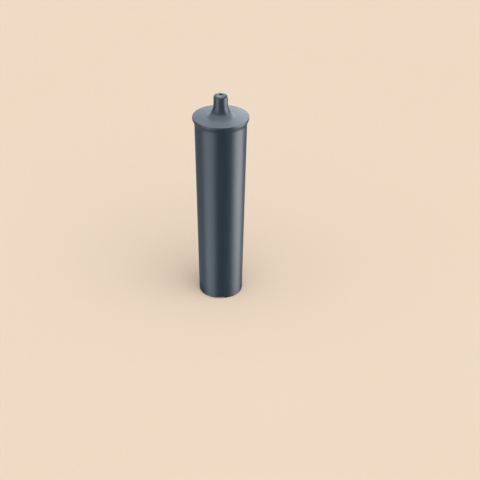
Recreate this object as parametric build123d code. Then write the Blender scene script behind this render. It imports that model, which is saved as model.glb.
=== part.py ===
"""In-tank water filter cartridge for a coffee machine, in millimetres.

A tapered moulded tube stands on its foot and is closed by a welded cap with an outlet nozzle.
Water enters through slots in the tube's floor, rises through the granulate bed between two fleece
discs, collects under the cap and leaves through the nozzle. A ring-shaped transponder lies under the cap.
The origin is the centre of the foot, and +Z runs up the axis to the nozzle.
"""

import os
from math import atan2, cos, degrees, radians, sin, tan

from build123d import *

# Tube, with its diameter measured at the root of its flange
BODY_HEIGHT = 191.0  # foot to the cap's face
TUBE_DIAMETER = 50.0
TUBE_WALL = 1.6
TUBE_DRAFT = 1.05  # degrees a side, narrowing towards the foot
FLOOR_THICKNESS = 2.0
FOOT_RIM_HEIGHT = 3.0  # the floor stands this far above the surface
FOOT_RIM_THICKNESS = 2.2
FOOT_EDGE_CHAMFER = 0.6

# Notches that let water in under the foot
NOTCH_COUNT = 4
NOTCH_WIDTH = 8.0
NOTCH_HEIGHT = 1.8

# Inlet slots in the floor, and the gate mark at its centre
SLOT_COUNT = 16
SLOT_WIDTH = 1.6
SLOT_INNER_RADIUS = 6.5
SLOT_OUTER_RADIUS = 17.0
GATE_DIAMETER = 5.0
GATE_DEPTH = 0.6

# Lip, made of the tube's flange and the edge of the cap's disc
LIP_DIAMETER = 54.0
FLANGE_BAND = 0.8
FLANGE_CONE_HEIGHT = 3.6
CAP_THICKNESS = 1.6
CAP_EDGE_CHAMFER = 0.4
SEAM_CHAMFER = 0.2  # the fine groove where the cap is welded on

# Nozzle: a flare, a straight land for the machine's seal and a domed tip, one above the other
NOZZLE_DIAMETER = 13.6
NOZZLE_WALL = 2.2
NOZZLE_LAND = 6.3
NOZZLE_TIP_RADIUS = 2.2  # of the round shoulder
NOZZLE_TIP_SLOPE = 17.0  # degrees by which the tip rises from the shoulder to the outlet
FLARE_HEIGHT = 13.0
FLARE_REACH = 7.8  # how far the flare's foot spreads past the nozzle
FLARE_FOOT_RADIUS = 5.0  # of the tight arc that runs out into the cap's face
OUTLET_DIAMETER = 3.5
OUTLET_LENGTH = 4.0
OUTLET_CHAMFER = 0.4

# Underside of the cap: a conical mouth below the throat, a spigot and ribs that hold the fleece off the disc
MOUTH_DIAMETER = 20.0
MOUTH_HEIGHT = 10.5
SPIGOT_LENGTH = 5.0
SPIGOT_WALL = 1.6
RIB_COUNT = 12
RIB_THICKNESS = 1.4
RIB_INNER_RADIUS = 6.0

# Transponder ring under the cap
TAG_WIDTH = 5.0
TAG_THICKNESS = 0.8
CHIP_SIZE = 2.6
CHIP_THICKNESS = 0.4

# Filling
LOWER_FLEECE_THICKNESS = 3.0
UPPER_FLEECE_THICKNESS = 6.0

# Clearances
SPIGOT_CLEARANCE = 0.1
FILLING_CLEARANCE = 0.15
TAG_CLEARANCE = 0.3

# Levels and radii that follow from the sizes above
FLARE_TOP_Z = BODY_HEIGHT + FLARE_HEIGHT
NOZZLE_SHOULDER_Z = FLARE_TOP_Z + NOZZLE_LAND
WELD_Z = BODY_HEIGHT - CAP_THICKNESS
FLANGE_BAND_Z = WELD_Z - FLANGE_BAND
FLANGE_ROOT_Z = FLANGE_BAND_Z - FLANGE_CONE_HEIGHT
FLOOR_TOP_Z = FOOT_RIM_HEIGHT + FLOOR_THICKNESS
BED_BOTTOM_Z = FLOOR_TOP_Z + LOWER_FLEECE_THICKNESS
SPIGOT_END_Z = WELD_Z - SPIGOT_LENGTH
BED_TOP_Z = SPIGOT_END_Z - UPPER_FLEECE_THICKNESS
LIP_RADIUS = LIP_DIAMETER / 2
NOZZLE_RADIUS = NOZZLE_DIAMETER / 2
THROAT_RADIUS = NOZZLE_RADIUS - NOZZLE_WALL
OUTLET_RADIUS = OUTLET_DIAMETER / 2
OUTLET_EDGE_RADIUS = OUTLET_RADIUS + OUTLET_CHAMFER

# The tip: where its shoulder's arc runs out into the dome, and where the dome meets the outlet
DOME_RADIUS = NOZZLE_RADIUS - NOZZLE_TIP_RADIUS * (1 - sin(radians(NOZZLE_TIP_SLOPE)))
DOME_Z = NOZZLE_SHOULDER_Z + NOZZLE_TIP_RADIUS * cos(radians(NOZZLE_TIP_SLOPE))
TIP_Z = DOME_Z + (DOME_RADIUS - OUTLET_EDGE_RADIUS) * tan(radians(NOZZLE_TIP_SLOPE))
OUTLET_END_Z = TIP_Z - OUTLET_LENGTH

# Placing of slots, notches and ribs that run outwards from their inner end
FROM_INNER_END = (Align.MIN, Align.CENTER, Align.MIN)


def tube_radius(z):
    """Outside radius of the drafted wall at height z."""
    return TUBE_DIAMETER / 2 - (FLANGE_ROOT_Z - z) * tan(radians(TUBE_DRAFT))


# Radii that follow from the tube's bore at the spigot's end
SPIGOT_RADIUS = tube_radius(SPIGOT_END_Z) - TUBE_WALL - SPIGOT_CLEARANCE
CHAMBER_RADIUS = SPIGOT_RADIUS - SPIGOT_WALL
TAG_OUTER_RADIUS = CHAMBER_RADIUS - TAG_CLEARANCE
TAG_INNER_RADIUS = TAG_OUTER_RADIUS - TAG_WIDTH
RIB_OUTER_RADIUS = TAG_INNER_RADIUS - TAG_CLEARANCE


def turned(*lines):
    """Solid of revolution about Z from lines drawn as (radius, height)."""
    return revolve(Plane.XZ * make_face(lines), Axis.Z)


def drafted_plug(bottom, top, setback):
    """Round plug from bottom to top whose side runs parallel to the tube's wall, setback inside it."""
    side = Polyline(
        (0, bottom),
        (tube_radius(bottom) - setback, bottom),
        (tube_radius(top) - setback, top),
        (0, top),
        close=True,
    )
    return turned(side)


def rim_edges(solid, radius, z):
    """The round edge of a solid at that radius and height."""
    circles = solid.edges().filter_by(GeomType.CIRCLE)
    return circles.filter_by(lambda e: abs(e.radius - radius) < 1e-3 and abs(e.center().Z - z) < 1e-3)


def make_housing():
    """Tube with its flange, slotted floor and notched foot, moulded in one piece."""
    foot_radius = tube_radius(0)
    outside = Polyline(
        (0, 0),
        (foot_radius, 0),
        (tube_radius(FLANGE_ROOT_Z), FLANGE_ROOT_Z),
        (LIP_RADIUS, FLANGE_BAND_Z),
        (LIP_RADIUS, WELD_Z),
        (0, WELD_Z),
        close=True,
    )
    housing = turned(outside)
    housing = chamfer(rim_edges(housing, foot_radius, 0), FOOT_EDGE_CHAMFER)
    housing = chamfer(rim_edges(housing, LIP_RADIUS, WELD_Z), SEAM_CHAMFER)
    housing -= drafted_plug(FLOOR_TOP_Z, WELD_Z, TUBE_WALL)
    housing -= drafted_plug(0, FOOT_RIM_HEIGHT, FOOT_RIM_THICKNESS)

    slot_length = SLOT_OUTER_RADIUS - SLOT_INNER_RADIUS
    slot = Box(slot_length, SLOT_WIDTH, FLOOR_THICKNESS, align=FROM_INNER_END)
    housing -= PolarLocations(SLOT_INNER_RADIUS, SLOT_COUNT) * (Pos(Z=FOOT_RIM_HEIGHT) * slot)

    notch = Box(TUBE_DIAMETER / 2, NOTCH_WIDTH, NOTCH_HEIGHT, align=FROM_INNER_END)
    housing -= PolarLocations(0, NOTCH_COUNT) * notch
    housing -= Pos(Z=FOOT_RIM_HEIGHT) * extrude(Circle(GATE_DIAMETER / 2), GATE_DEPTH)
    return housing


def flare_arcs():
    """The flare's two arcs, tangent to the cap's face, to each other and to the nozzle's land."""
    foot_x = NOZZLE_RADIUS + FLARE_REACH
    foot_y = BODY_HEIGHT + FLARE_FOOT_RADIUS
    half_square = (FLARE_REACH**2 + FLARE_HEIGHT**2) / 2
    side_radius = (half_square - FLARE_HEIGHT * FLARE_FOOT_RADIUS) / (FLARE_REACH - FLARE_FOOT_RADIUS)
    side_x = NOZZLE_RADIUS + side_radius
    turn = degrees(atan2(FLARE_TOP_Z - foot_y, side_x - foot_x))
    foot = CenterArc((foot_x, foot_y), FLARE_FOOT_RADIUS, start_angle=270, arc_size=turn - 90)
    side = CenterArc((side_x, FLARE_TOP_Z), side_radius, start_angle=180 + turn, arc_size=-turn)
    return foot, side


def cap_blank():
    """The cap's outside: spigot, disc, flared base and domed nozzle, still solid."""
    shoulder_centre = (NOZZLE_RADIUS - NOZZLE_TIP_RADIUS, NOZZLE_SHOULDER_Z)
    shoulder_turn = 90 - NOZZLE_TIP_SLOPE
    flare_foot, flare_side = flare_arcs()
    lower = Polyline(
        (0, TIP_Z),
        (0, SPIGOT_END_Z),
        (SPIGOT_RADIUS, SPIGOT_END_Z),
        (SPIGOT_RADIUS, WELD_Z),
        (LIP_RADIUS, WELD_Z),
        (LIP_RADIUS, BODY_HEIGHT),
        (NOZZLE_RADIUS + FLARE_REACH, BODY_HEIGHT),
    )
    land = Line((NOZZLE_RADIUS, FLARE_TOP_Z), (NOZZLE_RADIUS, NOZZLE_SHOULDER_Z))
    shoulder = CenterArc(shoulder_centre, NOZZLE_TIP_RADIUS, start_angle=0, arc_size=shoulder_turn)
    dome = Polyline((DOME_RADIUS, DOME_Z), (OUTLET_EDGE_RADIUS, TIP_Z), (0, TIP_Z))
    blank = turned(lower, flare_foot, flare_side, land, shoulder, dome)
    blank = chamfer(rim_edges(blank, LIP_RADIUS, BODY_HEIGHT), CAP_EDGE_CHAMFER)
    return chamfer(rim_edges(blank, LIP_RADIUS, WELD_Z), SEAM_CHAMFER)


def cap_core():
    """The space inside the cap: collecting chamber, throat with its mouth, and outlet, parted by the ribs."""
    hollow = Polyline(
        (0, SPIGOT_END_Z),
        (CHAMBER_RADIUS, SPIGOT_END_Z),
        (CHAMBER_RADIUS, WELD_Z),
        (MOUTH_DIAMETER / 2, WELD_Z),
        (THROAT_RADIUS, WELD_Z + MOUTH_HEIGHT),
        (THROAT_RADIUS, FLARE_TOP_Z),
        (OUTLET_RADIUS, OUTLET_END_Z),
        (OUTLET_RADIUS, TIP_Z - OUTLET_CHAMFER),
        (OUTLET_EDGE_RADIUS, TIP_Z),
        (0, TIP_Z),
        close=True,
    )
    rib = Box(RIB_OUTER_RADIUS - RIB_INNER_RADIUS, RIB_THICKNESS, SPIGOT_LENGTH, align=FROM_INNER_END)
    return turned(hollow) - PolarLocations(RIB_INNER_RADIUS, RIB_COUNT) * (Pos(Z=SPIGOT_END_Z) * rib)


def make_cap():
    """Cap with nozzle, welded to the flange; its spigot centres it in the tube's mouth."""
    return cap_blank() - cap_core()


def make_transponder_ring():
    """Flat antenna ring with its chip, stuck to the cap's underside between the ribs and the spigot."""
    ring_face = Circle(TAG_OUTER_RADIUS) - Circle(TAG_INNER_RADIUS)
    ring = Pos(Z=WELD_Z - TAG_THICKNESS) * extrude(ring_face, TAG_THICKNESS)
    chip = Box(CHIP_SIZE, CHIP_SIZE, CHIP_THICKNESS, align=(Align.CENTER, Align.CENTER, Align.MAX))
    middle_radius = (TAG_OUTER_RADIUS + TAG_INNER_RADIUS) / 2
    return ring + Pos(middle_radius, 0, WELD_Z - TAG_THICKNESS) * chip


def fleece_disc(bottom, top):
    """Disc punched from felt, straight-sided, so it clears the drafted wall by its lower edge."""
    radius = tube_radius(bottom) - TUBE_WALL - FILLING_CLEARANCE
    return Pos(Z=bottom) * extrude(Circle(radius), top - bottom)


def make_lower_fleece():
    """Felted disc over the inlet slots."""
    return fleece_disc(FLOOR_TOP_Z, BED_BOTTOM_Z)


def make_filter_bed():
    """Ion exchanger and carbon granulate, packed between the fleece discs."""
    return drafted_plug(BED_BOTTOM_Z, BED_TOP_Z, TUBE_WALL + FILLING_CLEARANCE)


def make_upper_fleece():
    """Thick felted disc that the cap's spigot and ribs press onto the bed."""
    return fleece_disc(BED_TOP_Z, SPIGOT_END_Z)


PIECES = {
    "housing": make_housing,
    "cap": make_cap,
    "transponder_ring": make_transponder_ring,
    "lower_fleece": make_lower_fleece,
    "filter_bed": make_filter_bed,
    "upper_fleece": make_upper_fleece,
}

os.makedirs("parts", exist_ok=True)
for node, make in PIECES.items():
    export_step(make(), f"parts/{node}.step")
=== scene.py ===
"""Looks of an in-tank water filter cartridge, in metres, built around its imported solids."""
import math

import bpy
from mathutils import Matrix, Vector


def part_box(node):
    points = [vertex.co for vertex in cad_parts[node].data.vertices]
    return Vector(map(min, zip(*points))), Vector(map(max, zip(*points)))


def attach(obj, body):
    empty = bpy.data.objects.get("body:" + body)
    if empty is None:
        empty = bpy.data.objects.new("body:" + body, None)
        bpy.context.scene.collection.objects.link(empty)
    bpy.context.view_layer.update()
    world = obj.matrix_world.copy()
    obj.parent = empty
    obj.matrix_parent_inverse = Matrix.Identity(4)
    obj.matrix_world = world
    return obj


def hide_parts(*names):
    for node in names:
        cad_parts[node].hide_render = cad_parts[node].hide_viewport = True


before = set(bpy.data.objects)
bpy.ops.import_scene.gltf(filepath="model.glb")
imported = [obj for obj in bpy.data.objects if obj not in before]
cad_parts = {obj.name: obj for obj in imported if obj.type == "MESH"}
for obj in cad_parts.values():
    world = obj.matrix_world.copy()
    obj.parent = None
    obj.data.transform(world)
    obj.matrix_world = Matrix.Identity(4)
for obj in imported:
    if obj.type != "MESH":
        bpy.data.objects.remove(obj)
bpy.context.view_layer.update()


# Housing
# A tapered tube with a flange at its mouth and a slotted floor that stands on a notched foot.
# It is moulded in one shot from dark slate-grey polypropylene in a satin tool, and its draft lets it
# slide off the core.

MM = 0.001

housing_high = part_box("housing")[1]
weld_z = housing_high.z
weld_rounding = 0.08 * MM
lip_radius = housing_high.x
flange_band = 0.8 * MM
flange_band_z = weld_z - flange_band
flange_band_rounding = 2.5 * MM
flange_slope = 3.6 * MM
flange_root_z = flange_band_z - flange_slope
flange_root_rounding = 9.0 * MM
tube_radius = 25.0 * MM
tube_wall = 1.6 * MM
tube_draft = math.radians(1.05)
tube_mouth_rounding = 0.2 * MM
tube_floor_rounding = 0.8 * MM
floor_z = 3.0 * MM
floor_thickness = 2.0 * MM
floor_top_z = floor_z + floor_thickness
foot_rim = 2.2 * MM
foot_outer_rounding = 0.8 * MM
foot_inner_rounding = 0.3 * MM
foot_root_rounding = 0.4 * MM
gate_radius = 2.5 * MM
gate_depth = 0.6 * MM
gate_rounding = 0.2 * MM
cut_margin = 1.0 * MM
lathe_segments = 192
crisp_angle = math.radians(32)


def wall_radius(z, setback=0.0):
    """Radius of the drafted wall at height z, or of a surface that runs setback inside it."""
    return tube_radius - (flange_root_z - z) * math.tan(tube_draft) - setback


def corner_arc(before, corner, after, rounding, step=math.radians(9)):
    """Points of the arc that rounds one corner of an outline."""
    to_before = (before - corner).normalized()
    to_after = (after - corner).normalized()
    opening = to_before.angle(to_after)
    reach = rounding / math.tan(opening / 2)
    centre = corner + (to_before + to_after).normalized() * (rounding / math.sin(opening / 2))
    first = corner + to_before * reach - centre
    turn = (math.pi - opening) * math.copysign(1, to_before.x * to_after.y - to_before.y * to_after.x)
    steps = max(2, math.ceil(abs(turn) / step))
    start = math.atan2(first.y, first.x)
    angles = [start - turn * k / steps for k in range(steps + 1)]
    return [centre + Vector((math.cos(a), math.sin(a))) * rounding for a in angles]


def split_runs(points, closed, longest, margin=0.25 * MM):
    """The outline with its straight runs divided and held by a point near each end, so they shade flat."""
    ends = points[1:] + points[:1] if closed else points[1:]
    divided = []
    for start, end in zip(points, ends):
        divided.append(start)
        length = (end - start).length
        if length > 4 * margin:
            steps = math.ceil(length / longest)
            inner = [margin] + [length * k / steps for k in range(1, steps)] + [length - margin]
            divided += [start.lerp(end, along / length) for along in inner]
    return divided if closed else divided + points[-1:]


def section_piece(name, corners, closed=False, longest=9.0 * MM):
    """A piece whose mesh is, so far, its half section: corners are (radius, height, rounding)."""
    spots = [Vector((radius, height)) for radius, height, _ in corners]
    outline = []
    for k, (_, _, rounding) in enumerate(corners):
        after = spots[(k + 1) % len(spots)]
        outline += corner_arc(spots[k - 1], spots[k], after, rounding) if rounding else [spots[k]]
    outline = split_runs(outline, closed, longest)
    edges = [(k, k + 1) for k in range(len(outline) - 1)]
    if closed:
        edges.append((len(outline) - 1, 0))
    mesh = bpy.data.meshes.new(name)
    mesh.from_pydata([(spot.x, 0.0, spot.y) for spot in outline], edges, [])
    piece = bpy.data.objects.new(name, mesh)
    bpy.context.scene.collection.objects.link(piece)
    return piece


class Wire:
    """A socket that takes part in sums: each operation adds a Math node to the socket's tree."""

    def __init__(self, tree, socket=None):
        self.tree = tree
        self.socket = socket

    def node(self, kind, settings=None, sockets=None, output=0):
        """Adds a node of that type with its settings, then the values or links of its sockets."""
        made = self.tree.nodes.new(kind)
        for name, value in (settings or {}).items():
            if name == "stops":
                made.color_ramp.elements.remove(made.color_ramp.elements[1])
                made.color_ramp.elements[0].position = value[0][0]
                made.color_ramp.elements[0].color = value[0][1]
                for place, colour in value[1:]:
                    made.color_ramp.elements.new(place).color = colour
            else:
                setattr(made, name, value)
        for name, value in (sockets or {}).items():
            if isinstance(value, (Wire, list)):
                for wire in value if isinstance(value, list) else [value]:
                    self.tree.links.new(wire.socket, made.inputs[name])
            else:
                made.inputs[name].default_value = value
        return Wire(self.tree, made.outputs[output] if len(made.outputs) else None)

    def out(self, name):
        """Another output of the node that this socket belongs to."""
        return Wire(self.tree, self.socket.node.outputs[name])

    def math(self, operation, first, second):
        """Adds a Math node."""
        return self.node("ShaderNodeMath", {"operation": operation}, {0: first, 1: second})

    def __add__(self, other):
        return self.math("ADD", self, other)

    def __sub__(self, other):
        return self.math("SUBTRACT", self, other)

    def __rsub__(self, other):
        return self.math("SUBTRACT", other, self)

    def __mul__(self, other):
        return self.math("MULTIPLY", self, other)

    def __truediv__(self, other):
        return self.math("DIVIDE", self, other)

    __radd__ = __add__


def sized_tree(name, sizes):
    """A geometry tree with a named input for each size, then its geometry and its sizes as wires."""
    tree = bpy.data.node_groups.new(name, "GeometryNodeTree")
    tree.interface.new_socket("Geometry", in_out="INPUT", socket_type="NodeSocketGeometry")
    for size, value in sizes.items():
        kind = "NodeSocketInt" if isinstance(value, int) else "NodeSocketFloat"
        tree.interface.new_socket(size, in_out="INPUT", socket_type=kind)
    tree.interface.new_socket("Geometry", in_out="OUTPUT", socket_type="NodeSocketGeometry")
    geometry = Wire(tree).node("NodeGroupInput")
    return tree, geometry, {size: geometry.out(size) for size in sizes}


def turned(section, segments):
    """Adds the nodes that sweep a section, drawn as (radius, 0, height), along a small circle round Z."""
    rail_radius = 1.0 * MM
    seam = 0.001 * MM
    place = section.node("ShaderNodeSeparateXYZ", {}, {"Vector": section.node("GeometryNodeInputPosition")})
    across = place.out("X") - rail_radius
    laid = section.node("ShaderNodeCombineXYZ", {}, {"X": across, "Y": 0 - place.out("Z")})
    profile = section.node("GeometryNodeMeshToCurve", {}, {"Mesh": section})
    profile = section.node("GeometryNodeSetPosition", {}, {"Geometry": profile, "Position": laid})
    ring = {"Resolution": segments, "Radius": rail_radius}
    rail = section.node("GeometryNodeCurvePrimitiveCircle", {}, ring)
    swept = section.node("GeometryNodeCurveToMesh", {}, {"Curve": rail, "Profile Curve": profile})
    outwards = section.node("GeometryNodeFlipFaces", {}, {"Mesh": swept})
    return section.node("GeometryNodeMergeByDistance", {}, {"Geometry": outwards, "Distance": seam})


def block(size, what):
    """Adds the nodes of a box that runs outwards along X, with its sizes from the inputs named after it."""
    inner = size[what + " inner radius"]
    outer = size[what + " outer radius"]
    bottom = size[what + " bottom"]
    top = size[what + " top"]
    sides = {"X": outer - inner, "Y": size[what + " width"], "Z": top - bottom}
    middle = {"X": (inner + outer) / 2, "Z": (bottom + top) / 2}
    extent = inner.node("ShaderNodeCombineXYZ", {}, sides)
    place = inner.node("ShaderNodeCombineXYZ", {}, middle)
    box = inner.node("GeometryNodeMeshCube", {}, {"Size": extent})
    return inner.node("GeometryNodeTransform", {}, {"Geometry": box, "Translation": place})


def ring_of(shape, count):
    """Adds the nodes that repeat a shape round the Z axis."""
    points = shape.node("GeometryNodePoints", {}, {"Count": count})
    angle = shape.node("GeometryNodeInputIndex") * math.tau / count
    turn = shape.node("ShaderNodeCombineXYZ", {}, {"Z": angle})
    sockets = {"Points": points, "Instance": shape, "Rotation": turn}
    copies = shape.node("GeometryNodeInstanceOnPoints", {}, sockets)
    return shape.node("GeometryNodeRealizeInstances", {}, {"Geometry": copies})


def carved(operation, shapes):
    """Adds an exact boolean: the first shape less the others, or all of them joined."""
    settings = {"operation": operation, "solver": "EXACT"}
    meshes = {"Mesh 2": shapes}
    if operation == "DIFFERENCE":
        meshes = {"Mesh 1": shapes[0], "Mesh 2": shapes[1:]}
    return shapes[0].node("GeometryNodeMeshBoolean", settings, meshes)


def painted(shape, material):
    """Adds the nodes that end a branch: real copies instead of instances, and their material."""
    real = shape.node("GeometryNodeRealizeInstances", {}, {"Geometry": shape})
    return shape.node("GeometryNodeSetMaterial", {}, {"Geometry": real, "Material": material})


def grow(piece, tree, shape, sizes):
    """Runs the finished tree on the piece with these sizes and keeps the result as its plain mesh."""
    shape.node("NodeGroupOutput", {}, {"Geometry": shape})
    modifier = piece.modifiers.new(tree.name, "NODES")
    modifier.node_group = tree
    for item in tree.interface.items_tree:
        if item.in_out == "INPUT" and item.name in sizes:
            modifier[item.identifier] = sizes[item.name]
    mesh = bpy.data.meshes.new_from_object(piece.evaluated_get(bpy.context.evaluated_depsgraph_get()))
    piece.modifiers.remove(modifier)
    piece.data = mesh
    empty_slots = [k for k, material in enumerate(mesh.materials) if material is None]
    for k in reversed(empty_slots):
        mesh.materials.pop(index=k)
    mesh.shade_smooth()
    mesh.set_sharp_from_angle(angle=crisp_angle)


def new_material(name):
    """An empty node material, with a wire to start from and its object coordinates."""
    material = bpy.data.materials.new(name)
    material.use_nodes = True
    material.node_tree.nodes.clear()
    start = Wire(material.node_tree)
    return material, start, start.node("ShaderNodeTexCoord", {}, {}, "Object")


def noise(place, scale, detail=3.0, stretch=(1.0, 1.0, 1.0)):
    """Noise from 0 to 1 on the object's own coordinates, with scale in cells a metre."""
    spread = place.node("ShaderNodeMapping", {}, {"Vector": place, "Scale": stretch})
    return place.node("ShaderNodeTexNoise", {}, {"Vector": spread, "Scale": scale, "Detail": detail})


def blended(factor, first, second):
    """Adds a colour mix that goes from first to second."""
    return factor.node("ShaderNodeMix", {"data_type": "RGBA"}, {0: factor, 6: first, 7: second}, 2)


def relief(height, strength, depth):
    """Adds a bump of that depth, as a normal."""
    return height.node("ShaderNodeBump", {}, {"Height": height, "Strength": strength, "Distance": depth})


def finished(material, start, **sockets):
    """Adds the shader and the material's output."""
    named = {name.replace("_", " "): value for name, value in sockets.items()}
    shader = start.node("ShaderNodeBsdfPrincipled", {}, named)
    start.node("ShaderNodeOutputMaterial", {}, {"Surface": shader})
    return material


def satin_polypropylene():
    """Dark slate plastic with faint flow lines along the draft and the fine orange peel of a satin tool."""
    deep_slate = (0.020, 0.029, 0.039, 1)
    slate = (0.029, 0.040, 0.052, 1)
    material, start, place = new_material("satin_polypropylene")
    cloud = noise(place, scale=45.0)
    flow = noise(place, scale=420.0, detail=2.0, stretch=(1.0, 1.0, 0.03))
    peel = noise(place, scale=1500.0, detail=2.0)
    colour = blended(cloud * 0.6 + flow * 0.4, deep_slate, slate)
    normal = relief(peel + flow * 0.5, strength=0.12, depth=0.02 * MM)
    return finished(material, start, Base_Color=colour, Roughness=0.35 + flow * 0.08, Normal=normal)


housing = section_piece("housing_shell", [
    (0.0, floor_z + gate_depth, 0.0),
    (gate_radius, floor_z + gate_depth, gate_rounding),
    (gate_radius, floor_z, gate_rounding),
    (wall_radius(floor_z, foot_rim), floor_z, foot_root_rounding),
    (wall_radius(0.0, foot_rim), 0.0, foot_inner_rounding),
    (wall_radius(0.0), 0.0, foot_outer_rounding),
    (wall_radius(flange_root_z), flange_root_z, flange_root_rounding),
    (lip_radius, flange_band_z, flange_band_rounding),
    (lip_radius, weld_z, weld_rounding),
    (wall_radius(weld_z, tube_wall), weld_z, tube_mouth_rounding),
    (wall_radius(floor_top_z, tube_wall), floor_top_z, tube_floor_rounding),
    (0.0, floor_top_z, 0.0),
])
housing_sizes = {
    "Segments": lathe_segments,
    "Slots": 16,
    "Slot inner radius": 6.5 * MM,
    "Slot outer radius": 17.0 * MM,
    "Slot width": 1.6 * MM,
    "Slot bottom": floor_z - cut_margin,
    "Slot top": floor_top_z + cut_margin,
    "Notches": 4,
    "Notch inner radius": 15.0 * MM,
    "Notch outer radius": lip_radius,
    "Notch width": 8.0 * MM,
    "Notch bottom": -cut_margin,
    "Notch top": 1.8 * MM,
}
tree, shape, size = sized_tree("moulded_tube", housing_sizes)
slots = ring_of(block(size, "Slot"), size["Slots"])
notches = ring_of(block(size, "Notch"), size["Notches"])
tube = carved("DIFFERENCE", [turned(shape, size["Segments"]), slots, notches])
grow(housing, tree, painted(tube, satin_polypropylene()), housing_sizes)
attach(housing, "root")
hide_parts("housing")


# Lower fleece
# A thin disc punched from white needled polyester felt, with soft fuzzy faces.
# It lies loose on the floor of the housing, over the inlet slots, and keeps the granulate in.

felt_fuzz = 0.24 * MM
felt_rounding = 0.7 * MM
felt_step = 1.1 * MM


def felted_fibre():
    """White felt: matted fibres that run every way, with small shaded hollows between them."""
    hollow = (0.55, 0.54, 0.50, 1)
    fibre = (0.86, 0.85, 0.81, 1)
    material, start, place = new_material("felted_fibre")
    lengthwise = noise(place, scale=1400.0, detail=2.0, stretch=(0.10, 1.0, 1.0))
    crosswise = noise(place, scale=1400.0, detail=2.0, stretch=(1.0, 0.10, 1.0))
    matting = noise(place, scale=320.0, detail=4.0)
    fibres = start.math("MAXIMUM", lengthwise, crosswise)
    colour = blended(fibres * 0.7 + matting * 0.3, hollow, fibre)
    normal = relief(fibres + matting * 0.6, strength=0.7, depth=0.15 * MM)
    return finished(material, start, Base_Color=colour, Roughness=0.92, Sheen_Weight=0.25, Normal=normal)


def felt_disc(name, node, felt):
    """A disc of felt in the place of its solid, set back by half its fuzz so that no lump stands proud."""
    low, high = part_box(node)
    setback = felt_fuzz / 2
    disc = section_piece(name, [
        (0.0, low.z + setback, 0.0),
        (high.x - setback, low.z + setback, felt_rounding),
        (high.x - setback, high.z - setback, felt_rounding),
        (0.0, high.z - setback, 0.0),
    ], longest=felt_step)
    sizes = {"Segments": 144, "Fuzz": felt_fuzz, "Lumps a metre": 420.0}
    tree, shape, size = sized_tree("needled_felt", sizes)
    blank = turned(shape, size["Segments"])
    spot = shape.node("GeometryNodeInputPosition")
    texture = {"Vector": spot, "Scale": size["Lumps a metre"], "Detail": 3.0}
    lumps = shape.node("ShaderNodeTexNoise", {}, texture)
    lift = (lumps - 0.5) * size["Fuzz"]
    outwards = shape.node("GeometryNodeInputNormal")
    offset = shape.node("ShaderNodeVectorMath", {"operation": "SCALE"}, {0: outwards, "Scale": lift})
    fuzzy = shape.node("GeometryNodeSetPosition", {}, {"Geometry": blank, "Offset": offset})
    grow(disc, tree, painted(fuzzy, felt), sizes)
    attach(disc, "root")
    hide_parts(node)
    return disc


felt = felted_fibre()
lower_fleece = felt_disc("lower_felt_disc", "lower_fleece", felt)


# Filter bed
# Loose granulate that cleans the water: amber ion exchanger beads mixed with black activated carbon.
# It is filled in dry and held between the two discs of fleece.

bed_low, bed_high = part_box("filter_bed")
bed_gap = 0.15 * MM
grain_radius = 1.05 * MM
core_setback = tube_wall + bed_gap + grain_radius
core_low_z = bed_low.z + grain_radius
core_high_z = bed_high.z - grain_radius
core_rounding = 0.5 * MM


def mixed_granulate():
    """Amber beads and black carbon grains, told apart by each grain's own tint, with a dusty bloom."""
    bloom = (0.50, 0.46, 0.40, 1)
    material, start, place = new_material("mixed_granulate")
    tint = start.node("ShaderNodeAttribute", {"attribute_name": "tint"}, {}, "Fac")
    # A tint of 0, which the core under the grains keeps, gives carbon black: partly the carbon, partly
    # painted shade between the grains
    stops = [
        (0.00, (0.012, 0.012, 0.012, 1)),
        (0.30, (0.030, 0.029, 0.028, 1)),
        (0.34, (0.170, 0.085, 0.024, 1)),
        (1.00, (0.420, 0.250, 0.090, 1)),
    ]
    grain = start.node("ShaderNodeValToRGB", {"stops": stops}, {"Fac": tint}, "Color")
    dust = noise(place, scale=1800.0)
    colour = blended(dust * 0.18, grain, bloom)
    normal = relief(dust, strength=0.4, depth=0.08 * MM)
    return finished(material, start, Base_Color=colour, Roughness=0.42 + dust * 0.25, Normal=normal)


bed = section_piece("granulate_bed", [
    (0.0, core_low_z, 0.0),
    (wall_radius(core_low_z, core_setback), core_low_z, core_rounding),
    (wall_radius(core_high_z, core_setback), core_high_z, core_rounding),
    (0.0, core_high_z, 0.0),
])
bed_sizes = {
    "Segments": 96,
    "Grain radius": grain_radius,
    "Grain spacing": 1.5 * MM,
    "Grains a square metre": 2000000.0,
    "Smallest grain": 0.78,
    "Seed": 11,
}
tree, shape, size = sized_tree("packed_grains", bed_sizes)
seed = size["Seed"]
# The core under the grains has no tint and so is carbon black, partly for the carbon and partly as painted
# shade in the gaps between the grains
core = turned(shape, size["Segments"])
spots = shape.node("GeometryNodeDistributePointsOnFaces", {"distribute_method": "POISSON"}, {
    "Mesh": core,
    "Distance Min": size["Grain spacing"],
    "Density Max": size["Grains a square metre"],
    "Seed": seed,
})
grain = shape.node("GeometryNodeMeshIcoSphere", {}, {"Radius": size["Grain radius"], "Subdivisions": 1})
full_turn = (math.tau, math.tau, math.tau)
lie = shape.node("FunctionNodeRandomValue", {"data_type": "FLOAT_VECTOR"}, {1: full_turn, "Seed": seed})
growth = shape.node("FunctionNodeRandomValue", {}, {2: size["Smallest grain"], 3: 1.0, "Seed": seed}, 1)
grains = shape.node("GeometryNodeInstanceOnPoints", {}, {
    "Points": spots,
    "Instance": grain,
    "Rotation": lie,
    "Scale": shape.node("ShaderNodeCombineXYZ", {}, {"X": growth, "Y": growth, "Z": growth}),
})
shade = shape.node("FunctionNodeRandomValue", {}, {2: 0.0, 3: 1.0, "Seed": seed + 1}, 1)
grains = shape.node(
    "GeometryNodeStoreNamedAttribute",
    {"data_type": "FLOAT", "domain": "INSTANCE"},
    {"Geometry": grains, "Name": "tint", "Value": shade},
)
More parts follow.
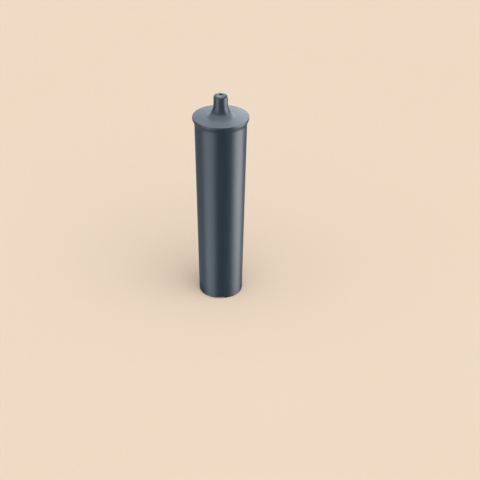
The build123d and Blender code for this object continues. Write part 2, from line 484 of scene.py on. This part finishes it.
packed = shape.node("GeometryNodeJoinGeometry", {}, {"Geometry": [core, grains]})
grow(bed, tree, painted(packed, mixed_granulate()), bed_sizes)
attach(bed, "root")
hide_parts("filter_bed")


# Upper fleece
# A thicker disc of the same felt that lies on the granulate.
# The cap's spigot and ribs press it down, so that the bed stays packed.

upper_fleece = felt_disc("upper_felt_disc", "upper_fleece", felt)


# Transponder ring
# A flat coil that the machine reads: etched copper turns and a small chip on an amber film ring.
# It is stuck to the cap's underside, between the ribs and the spigot.

tag_low, tag_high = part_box("transponder_ring")
tag_outer_radius = tag_high.x
tag_width = 5.0 * MM
tag_inner_radius = tag_outer_radius - tag_width
tag_middle_radius = (tag_inner_radius + tag_outer_radius) / 2
film_thickness = 0.74 * MM
film_rounding = 0.1 * MM
film_face_z = tag_high.z - film_thickness
trace_thickness = 0.06 * MM
coil_margin = 0.7 * MM
chip_half = 1.3 * MM


def amber_film():
    """Amber polyimide with a soft gloss and faint rolling marks."""
    deep_amber = (0.37, 0.165, 0.035, 1)
    amber = (0.50, 0.255, 0.075, 1)
    material, start, place = new_material("amber_film")
    cloud = noise(place, scale=300.0)
    rolled = noise(place, scale=2200.0, detail=2.0, stretch=(0.06, 1.0, 1.0))
    colour = blended(cloud * 0.7 + rolled * 0.3, deep_amber, amber)
    normal = relief(rolled, strength=0.15, depth=0.02 * MM)
    return finished(material, start, Base_Color=colour, Roughness=0.24 + rolled * 0.14, Normal=normal)


def etched_copper():
    """Thin copper tracks, slightly dulled."""
    bright = (0.80, 0.42, 0.24, 1)
    dull = (0.58, 0.27, 0.14, 1)
    material, start, place = new_material("etched_copper")
    dulled = noise(place, scale=900.0)
    colour = blended(dulled, bright, dull)
    return finished(material, start, Base_Color=colour, Roughness=0.26 + dulled * 0.2, Metallic=1.0)


def black_epoxy():
    """The chip's matt black casing."""
    black = (0.010, 0.010, 0.011, 1)
    dusty_black = (0.022, 0.022, 0.023, 1)
    material, start, place = new_material("black_epoxy")
    speckle = noise(place, scale=5000.0, detail=2.0)
    colour = blended(speckle, black, dusty_black)
    normal = relief(speckle, strength=0.3, depth=0.01 * MM)
    return finished(material, start, Base_Color=colour, Roughness=0.48 + speckle * 0.12, Normal=normal)


tag = section_piece("transponder_coil", [
    (tag_inner_radius, film_face_z, film_rounding),
    (tag_outer_radius, film_face_z, film_rounding),
    (tag_outer_radius, tag_high.z, film_rounding),
    (tag_inner_radius, tag_high.z, film_rounding),
], closed=True)
tag_sizes = {
    "Segments": 160,
    "Turns": 7,
    "First turn radius": tag_inner_radius + coil_margin,
    "Turn pitch": 0.58 * MM,
    "Trace width": 0.32 * MM,
    "Trace thickness": 2 * trace_thickness,
    "Trace level": film_face_z,
    "Chip inner radius": tag_middle_radius - chip_half,
    "Chip outer radius": tag_middle_radius + chip_half,
    "Chip width": 2 * chip_half,
    "Chip bottom": tag_low.z,
    "Chip top": film_face_z + trace_thickness,
    "Chip edge crease": 0.8,
    "Chip subdivisions": 3,
}
tree, shape, size = sized_tree("printed_coil", tag_sizes)
carrier = turned(shape, size["Segments"])
loop = shape.node("GeometryNodeCurvePrimitiveCircle", {}, {"Resolution": size["Segments"], "Radius": 1.0})
reach = size["First turn radius"] + shape.node("GeometryNodeInputIndex") * size["Turn pitch"]
loops = shape.node("GeometryNodeInstanceOnPoints", {}, {
    "Points": shape.node("GeometryNodePoints", {}, {"Count": size["Turns"]}),
    "Instance": loop,
    "Scale": shape.node("ShaderNodeCombineXYZ", {}, {"X": reach, "Y": reach, "Z": reach}),
})
loops = shape.node("GeometryNodeRealizeInstances", {}, {"Geometry": loops})
strip = {"Width": size["Trace width"], "Height": size["Trace thickness"]}
trace = shape.node("GeometryNodeCurvePrimitiveQuadrilateral", {}, strip)
coil = shape.node("GeometryNodeCurveToMesh", {}, {"Curve": loops, "Profile Curve": trace})
lifted = shape.node("ShaderNodeCombineXYZ", {}, {"Z": size["Trace level"]})
coil = shape.node("GeometryNodeTransform", {}, {"Geometry": coil, "Translation": lifted})
chip = shape.node("GeometryNodeSubdivisionSurface", {}, {
    "Mesh": block(size, "Chip"),
    "Level": size["Chip subdivisions"],
    "Edge Crease": size["Chip edge crease"],
})
branches = [painted(carrier, amber_film()), painted(coil, etched_copper()), painted(chip, black_epoxy())]
grow(tag, tree, shape.node("GeometryNodeJoinGeometry", {}, {"Geometry": branches}), tag_sizes)
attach(tag, "root")
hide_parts("transponder_ring")


# Cap
# A round lid with a flared outlet nozzle, and below it a spigot and ribs that hold the filling down.
# It is moulded in one shot from the same polypropylene and welded to the flange. Its face is finely grained.

cap_low, cap_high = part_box("cap")
tip_z = cap_high.z
spigot_end_z = cap_low.z
lid_thickness = 1.6 * MM
lid_rounding = 0.35 * MM
face_z = weld_z + lid_thickness
nozzle_radius = 6.8 * MM
nozzle_wall = 2.2 * MM
shoulder_rounding = 1.7 * MM
throat_radius = nozzle_radius - nozzle_wall
throat_rounding = 1.5 * MM
outlet_radius = 1.75 * MM
outlet_chamfer = 0.4 * MM
outlet_edge_radius = outlet_radius + outlet_chamfer
outlet_edge_rounding = 0.2 * MM
outlet_rounding = 0.3 * MM
outlet_length = 4.0 * MM
flare_height = 13.0 * MM
flare_reach = 7.8 * MM
flare_foot_radius = 5.0 * MM
mouth_radius = 10.0 * MM
mouth_height = 10.5 * MM
mouth_top_rounding = 3.0 * MM
mouth_edge_rounding = 1.0 * MM
spigot_clearance = 0.1 * MM
spigot_wall = 1.6 * MM
spigot_radius = wall_radius(spigot_end_z, tube_wall) - spigot_clearance
spigot_end_rounding = 0.4 * MM
spigot_root_rounding = 0.2 * MM
chamber_radius = spigot_radius - spigot_wall
chamber_end_rounding = 0.3 * MM
chamber_roof_rounding = 0.5 * MM
rib_clearance = 0.3 * MM
rib_root = 0.4 * MM

# The tip is a low dome that rises from the nozzle's round shoulder to the outlet
dome_slope = math.radians(17)
dome_corner_z = tip_z - (nozzle_radius - outlet_edge_radius) * math.tan(dome_slope)

# The flare is two tangent arcs, so its outline has two rounded corners where their end tangents meet
flare_square = (flare_reach**2 + flare_height**2) / 2
flare_side_radius = (flare_square - flare_height * flare_foot_radius) / (flare_reach - flare_foot_radius)
flare_turn = math.atan2(flare_height - flare_foot_radius, flare_side_radius - flare_reach)
flare_foot_turn = math.pi / 2 - flare_turn
flare_foot_corner = nozzle_radius + flare_reach - flare_foot_radius * math.tan(flare_foot_turn / 2)
flare_side_corner = face_z + flare_height - flare_side_radius * math.tan(flare_turn / 2)


def ramp(height, low, high):
    """Adds a ramp from 0 at the low height to 1 at the high one."""
    return height.node("ShaderNodeMapRange", {}, {"Value": height, "From Min": low, "From Max": high})


def grained_and_lit_polypropylene():
    """The same plastic, finely spark-eroded on the face and tip and smooth on the nozzle, edge and
    underside; the grained parts are painted a lighter grey, partly for their grain and partly as painted
    light on these upward faces.
    """
    deep_slate = (0.028, 0.038, 0.049, 1)
    slate = (0.039, 0.051, 0.064, 1)
    # Lighter greys for the grained parts: partly their matt grain, partly painted light on the upward faces
    grained_lit_deep_grey = (0.078, 0.093, 0.108, 1)
    grained_lit_grey = (0.112, 0.130, 0.147, 1)
    material, start, place = new_material("grained_and_lit_polypropylene")
    height = start.node("ShaderNodeSeparateXYZ", {}, {"Vector": place}, "Z")
    above_edge = ramp(height, face_z - 0.30 * MM, face_z - 0.05 * MM)
    up_flare = ramp(height, face_z + 3.2 * MM, face_z + 5.2 * MM)
    on_tip = ramp(height, tip_z - 1.2 * MM, tip_z - 0.7 * MM)
    # Where the plastic is grained and painted lighter: the face, the flare's foot and the tip
    grained_lit_area = above_edge * (1 - up_flare) + on_tip
    cloud = noise(place, scale=60.0)
    grain = noise(place, scale=2600.0, detail=2.0)
    flow = noise(place, scale=420.0, detail=2.0, stretch=(1.0, 1.0, 0.05))
    smooth = blended(cloud * 0.6 + flow * 0.4, deep_slate, slate)
    grained_lit_colour = blended(cloud * 0.4 + grain * 0.6, grained_lit_deep_grey, grained_lit_grey)
    # The grained parts take the lighter grey, which is partly grain and partly painted light from above
    colour = blended(grained_lit_area, smooth, grained_lit_colour)
    normal = relief(grain * grained_lit_area + flow * 0.2, strength=0.35, depth=0.04 * MM)
    roughness = 0.36 + flow * 0.06 + grained_lit_area * (grain * 0.14 + 0.08)
    return finished(material, start, Base_Color=colour, Roughness=roughness, Normal=normal)


cap = section_piece("cap_moulding", [
    (chamber_radius, spigot_end_z, chamber_end_rounding),
    (spigot_radius, spigot_end_z, spigot_end_rounding),
    (spigot_radius, weld_z, spigot_root_rounding),
    (lip_radius, weld_z, weld_rounding),
    (lip_radius, face_z, lid_rounding),
    (flare_foot_corner, face_z, flare_foot_radius),
    (nozzle_radius, flare_side_corner, flare_side_radius),
    (nozzle_radius, dome_corner_z, shoulder_rounding),
    (outlet_edge_radius, tip_z, outlet_edge_rounding),
    (outlet_radius, tip_z - outlet_chamfer, outlet_rounding),
    (outlet_radius, tip_z - outlet_length, outlet_rounding),
    (throat_radius, face_z + flare_height, throat_rounding),
    (throat_radius, weld_z + mouth_height, mouth_top_rounding),
    (mouth_radius, weld_z, mouth_edge_rounding),
    (chamber_radius, weld_z, chamber_roof_rounding),
], closed=True)
cap_sizes = {
    "Segments": lathe_segments,
    "Ribs": 12,
    "Rib inner radius": 6.0 * MM,
    "Rib outer radius": tag_inner_radius - rib_clearance,
    "Rib width": 1.4 * MM,
    "Rib bottom": spigot_end_z,
    "Rib top": weld_z + rib_root,
}
tree, shape, size = sized_tree("moulded_cap", cap_sizes)
ribs = ring_of(block(size, "Rib"), size["Ribs"])
lid = carved("UNION", [turned(shape, size["Segments"]), ribs])
grow(cap, tree, painted(lid, grained_and_lit_polypropylene()), cap_sizes)
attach(cap, "root")
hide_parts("cap")


# Floor
# A plain pale sheet of matt paper that the cartridge stands on, wide enough to fill the view.
# It is seen from above only, and sends no light back onto the cartridge.

floor_half = 6.0
paper_light = (0.86, 0.66, 0.49, 1)
paper_dark = (0.84, 0.64, 0.47, 1)
paper_mottle = 3.0


def matt_paper():
    """Pale warm paper with a hardly visible mottle."""
    material, start, place = new_material("matt_paper")
    colour = blended(noise(place, paper_mottle), paper_dark, paper_light)
    paper = start.node("ShaderNodeBsdfDiffuse", {}, {"Color": colour})
    clear = start.node("ShaderNodeBsdfTransparent")
    back = start.node("ShaderNodeNewGeometry", {}, {}, "Backfacing")
    sheet = start.node("ShaderNodeMixShader", {}, {0: back, 1: paper, 2: clear})
    start.node("ShaderNodeOutputMaterial", {}, {"Surface": sheet})
    return material


floor_mesh = bpy.data.meshes.new("floor")
floor_corners = [(x * floor_half, y * floor_half, 0.0) for x, y in ((-1, -1), (1, -1), (1, 1), (-1, 1))]
floor_mesh.from_pydata(floor_corners, [], [(0, 1, 2, 3)])
floor_mesh.materials.append(matt_paper())
floor = bpy.data.objects.new("floor", floor_mesh)
bpy.context.scene.collection.objects.link(floor)
floor.visible_glossy = False
floor.visible_diffuse = False
floor.visible_shadow = False


# Light
# A pale tent that leans over from the camera's side, and two upright panels whose reflections run down the
# tube. A wing and low bounces fill the tube's edges and the lip's underside, small panels close to the cap
# give its face and tip their sheen, and a wide sun evens out the paper.

tent_lean = math.radians(15)
tent_axis = Vector((0.0, -math.sin(tent_lean), math.cos(tent_lean)))
tent_edge = math.sin(math.radians(30))
tent_full = math.sin(math.radians(50))
tent_glow = 1.4
tent_colour = (0.90, 0.985, 1.07, 1)
shade_glow = 0.02
backdrop_colour = (0.87, 0.71, 0.55, 1)
pale = (0.95, 1.0, 1.04)


def lit_group(name, *pieces):
    """A collection of the things that a light shines on."""
    group = bpy.data.collections.new(name)
    for piece in pieces:
        group.objects.link(piece)
    return group


def round_axis(azimuth, distance, z):
    """A place beside the axis; azimuth is in degrees, from the camera's side to the right."""
    turn = math.radians(azimuth)
    return Vector((distance * math.sin(turn), -distance * math.cos(turn), z))


def panel(name, group, place, aim, width, height, glow, colour, spread=math.pi):
    """A soft light that faces a point, shines on one group only and may be narrowed to a cone."""
    light = bpy.data.lights.new(name, "AREA")
    light.shape = "RECTANGLE"
    light.size = width
    light.size_y = height
    light.spread = spread
    # A narrow cone gathers the light's power, so the last factor takes that back and glow means the same
    half_spread = spread / 2
    light.energy = glow * math.pi * width * height * (1 - half_spread / math.tan(half_spread))
    light.color = colour
    lamp = bpy.data.objects.new(name, light)
    lamp.location = place
    lamp.rotation_euler = (aim - place).to_track_quat("-Z", "Y").to_euler()
    lamp.visible_camera = False
    lamp.light_linking.receiver_collection = group
    bpy.context.scene.collection.objects.link(lamp)
    return light


cartridge = lit_group("cartridge", housing, lower_fleece, bed, upper_fleece, tag, cap)
lid_only = lit_group("lid_only", cap)
paper_only = lit_group("paper_only", floor)

panel_distance = 1.0

# Each has its azimuth, the height of its middle, its width, height, glow and colour
upright_panels = {
    "left_panel": (-54.5, -0.3, 0.98, 1.6, 2.6, (0.87, 1.0, 1.11)),
    "right_panel": (86.5, -0.09, 0.92, 1.18, 5.5, (0.96, 1.0, 1.04)),
    "left_wing": (-115.0, 0.5, 1.2, 0.6, 0.8, pale),
}
for name, (azimuth, z, width, height, glow, colour) in upright_panels.items():
    place = round_axis(azimuth, panel_distance, z)
    panel(name, cartridge, place, round_axis(0.0, 0.0, z), width, height, glow, colour)

bounce_side = 0.5
bounce_y = 0.16

# Each has its X and its glow, and lies on the floor facing up
bounces = {"left_bounce": (-0.28, 0.3), "right_bounce": (0.28, 0.2)}
for name, (x, glow) in bounces.items():
    place = Vector((x, bounce_y, 0.0))
    overhead = place + Vector((0.0, 0.0, 1.0))
    panel(name, cartridge, place, overhead, bounce_side, bounce_side, glow, pale)

lip_spread = math.radians(50)

# Each has its place, the point of the lip that it faces, its side and its glow
lip_bounces = {
    "left_lip_bounce": (round_axis(-98.0, 0.07, 0.0), round_axis(-26.0, 0.026, flange_band_z), 0.07, 1.0),
    "right_lip_bounce": (round_axis(123.0, 0.12, 0.0), round_axis(40.0, 0.026, flange_band_z), 0.08, 2.4),
}
for name, (place, aim, side, glow) in lip_bounces.items():
    panel(name, cartridge, place, aim, side, side, glow, pale, lip_spread)

strip_z = face_z + 0.012

# Each has its place, the point that it faces, its width, height and glow
lid_panels = {
    "lid_panel": (round_axis(140.0, 0.045, face_z + 0.02), round_axis(140.0, 0.01, face_z), 0.03, 0.03, 4.8),
    "lid_strip": (round_axis(188.0, 0.05, strip_z), round_axis(0.0, 0.0, strip_z), 0.06, 0.02, 3.4),
    "tip_panel": (round_axis(196.0, 0.012, tip_z + 0.016), round_axis(0.0, 0.0, tip_z), 0.014, 0.014, 6.2),
}
for name, (place, aim, width, height, glow) in lid_panels.items():
    panel(name, lid_only, place, aim, width, height, glow, pale).use_shadow = False

sun = bpy.data.lights.new("sun", "SUN")
sun.energy = 1.0
sun.angle = math.radians(65)
sun_lamp = bpy.data.objects.new("sun", sun)
sun_lamp.rotation_euler = (math.radians(25), math.radians(20), 0.0)
sun_lamp.light_linking.receiver_collection = paper_only
bpy.context.scene.collection.objects.link(sun_lamp)

room = bpy.data.worlds.new("room")
room.use_nodes = True
room.node_tree.nodes.clear()
start = Wire(room.node_tree)
direction = start.node("ShaderNodeTexCoord", {}, {}, "Generated")
vectors = {0: direction, 1: tent_axis}
lean = start.node("ShaderNodeVectorMath", {"operation": "DOT_PRODUCT"}, vectors, "Value")
inside = start.node(
    "ShaderNodeMapRange",
    {"interpolation_type": "SMOOTHSTEP"},
    {"Value": lean, "From Min": tent_edge, "From Max": tent_full},
)
strength = inside * tent_glow + shade_glow
tent = start.node("ShaderNodeBackground", {}, {"Color": tent_colour, "Strength": strength})
backdrop = start.node("ShaderNodeBackground", {}, {"Color": backdrop_colour, "Strength": 1.0})
seen = start.node("ShaderNodeLightPath", {}, {}, "Is Camera Ray")
sky = start.node("ShaderNodeMixShader", {}, {0: seen, 1: tent, 2: backdrop})
start.node("ShaderNodeOutputWorld", {}, {"Surface": sky})
bpy.context.scene.world = room
bpy.context.scene.view_settings.view_transform = "Standard"


# Camera
# It stands in front of the cartridge and looks down on the cap.
# The frame is shifted, which sets the axis a little left of the middle.

view_distance = 1.1
view_elevation = math.radians(24.45)
view_tilt = math.radians(59.46)
camera_data = bpy.data.cameras.new("camera")
camera_data.lens = 87.08
camera_data.sensor_width = 36.0
camera_data.shift_x = 0.0401
camera = bpy.data.objects.new("camera", camera_data)
view_rise = view_distance * math.sin(view_elevation)
camera.location = (0.0, -view_distance * math.cos(view_elevation), face_z + view_rise)
camera.rotation_euler = (view_tilt, 0.0, 0.0)
bpy.context.scene.collection.objects.link(camera)
bpy.context.scene.camera = camera
